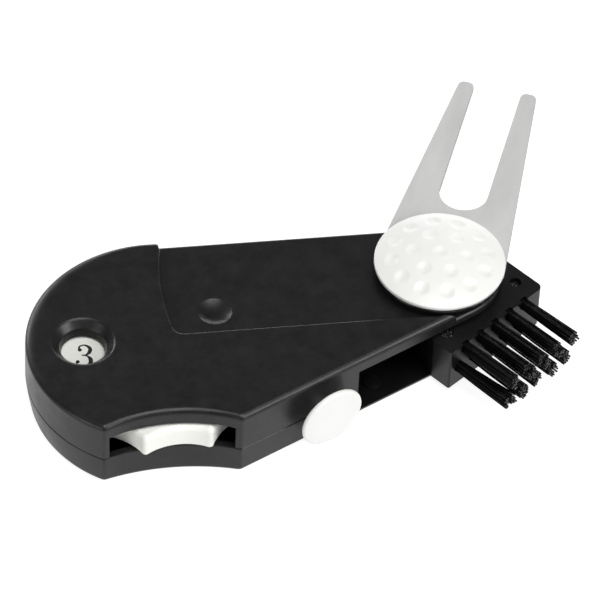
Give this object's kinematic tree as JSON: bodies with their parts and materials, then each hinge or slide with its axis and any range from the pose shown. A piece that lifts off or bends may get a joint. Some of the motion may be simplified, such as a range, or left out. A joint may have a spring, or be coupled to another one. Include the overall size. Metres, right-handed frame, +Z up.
{
  "type": "divot repair tool",
  "caption": "Pocket golf divot tool: swing-out pronged fork and club brush on a rivet, magnetic ball marker, stroke counter wheel and side release button.",
  "frame": {"origin": "middle of the case's flat underside, half way along the case", "axes": "+X along the case from the counter wheel to the rivet, +Y to the side away from the scallop and button, +Z up out of the face with the counter's window"},
  "size_m": [0.1145, 0.0743, 0.0187],
  "materials": {
    "black_plastic": "satin, fine texture",
    "white_plastic": "semi-gloss",
    "satin_steel": "satin, fine grain along the prongs",
    "plated_steel": "plated, bright",
    "spring_steel": "bright",
    "magnet": "nickel-plated",
    "natural_nylon": "matte",
    "bristle_nylon": "glossy strands"
  },
  "bodies": {
    "case": {"bottom_shell": "black_plastic", "top_shell": "black_plastic", "click_spring": "spring_steel", "axle_screw": "plated_steel", "case_screw_near": "plated_steel", "case_screw_far": "plated_steel", "pivot_rivet": "plated_steel", "wave_washer": "spring_steel", "latch_spring": "spring_steel"},
    "fork_set": {"fork": "satin_steel", "marker_holder": "black_plastic", "marker_magnet": "magnet"},
    "marker": {"ball_marker": "white_plastic", "marker_steel_disc": "plated_steel"},
    "brush": {"brush_arm": "black_plastic", "tuft_upper_1": "bristle_nylon", "tuft_upper_2": "bristle_nylon", "tuft_upper_3": "bristle_nylon", "tuft_upper_4": "bristle_nylon", "tuft_upper_5": "bristle_nylon", "tuft_lower_1": "bristle_nylon", "tuft_lower_2": "bristle_nylon", "tuft_lower_3": "bristle_nylon", "tuft_lower_4": "bristle_nylon", "tuft_lower_5": "bristle_nylon", "brush_stake_pin_1": "black_plastic", "brush_stake_pin_2": "black_plastic", "brush_washer": "natural_nylon"},
    "wheel": {"counter_wheel": "white_plastic"},
    "button": {"release_button": "white_plastic", "latch_slide": "black_plastic"}
  },
  "joints": [
    {"name": "fork_fold", "type": "hinge", "parent": "case", "child": "fork_set", "pos_m": [0.0342, 0, 0.01385], "axis": [0, 0, 1], "range_deg": [-67.6, 111.8]},
    {"name": "marker_lift", "type": "slide", "parent": "fork_set", "child": "marker", "axis": [0, 0, 1], "range_m": [0, 0.012]},
    {"name": "brush_swing", "type": "hinge", "parent": "case", "child": "brush", "pos_m": [0.0342, 0, 0.00625], "axis": [0, 0, 1], "range_deg": [-114.8, 65.2], "deforming": ["tuft_upper_1", "tuft_upper_2", "tuft_upper_3", "tuft_upper_4", "tuft_upper_5", "tuft_lower_1", "tuft_lower_2", "tuft_lower_3", "tuft_lower_4", "tuft_lower_5", "latch_slide"]},
    {"name": "counter_wheel_turn", "type": "hinge", "parent": "case", "child": "wheel", "pos_m": [-0.0212, 0, 0.00865], "axis": [0, 0, 1], "continuous": true, "deforming": ["click_spring"]},
    {"name": "button_press", "type": "slide", "parent": "case", "child": "button", "axis": [-0.2347, 0.9721, 0], "range_m": [0, 0.0012], "stiffness_N_per_m": 800, "deforming": ["latch_spring"]}
  ]
}
